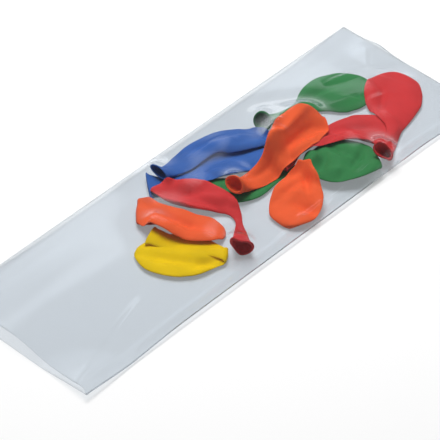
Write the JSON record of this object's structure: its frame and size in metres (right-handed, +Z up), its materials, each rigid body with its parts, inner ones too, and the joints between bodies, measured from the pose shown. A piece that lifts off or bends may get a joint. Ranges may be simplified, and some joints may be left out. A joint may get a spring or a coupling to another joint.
{
  "type": "clear flat plastic bag of uninflated balloons",
  "caption": "Flat clear film bag, welded across one end and open at the other, holding loose uninflated round rubber balloons of mixed colours.",
  "frame": {"origin": "centre of the bag's footprint, on the surface that it lies on", "axes": "+X along the bag to its welded end, +Z up from the surface"},
  "size_m": [0.45, 0.15, 0.0298],
  "materials": {
    "film": "clear gloss film",
    "green_latex": "satin latex",
    "red_latex": "satin latex",
    "orange_latex": "satin latex",
    "blue_latex": "satin latex",
    "yellow_latex": "satin latex"
  },
  "bodies": {
    "root": {"bag": "film", "balloon_green_a": "green_latex", "balloon_green_b": "green_latex", "balloon_green_c": "green_latex", "balloon_red_a": "red_latex", "balloon_red_b": "red_latex", "balloon_red_c": "red_latex", "balloon_orange_a": "orange_latex", "balloon_orange_b": "orange_latex", "balloon_orange_c": "orange_latex", "balloon_blue_a": "blue_latex", "balloon_blue_b": "blue_latex", "balloon_yellow": "yellow_latex"}
  },
  "joints": []
}
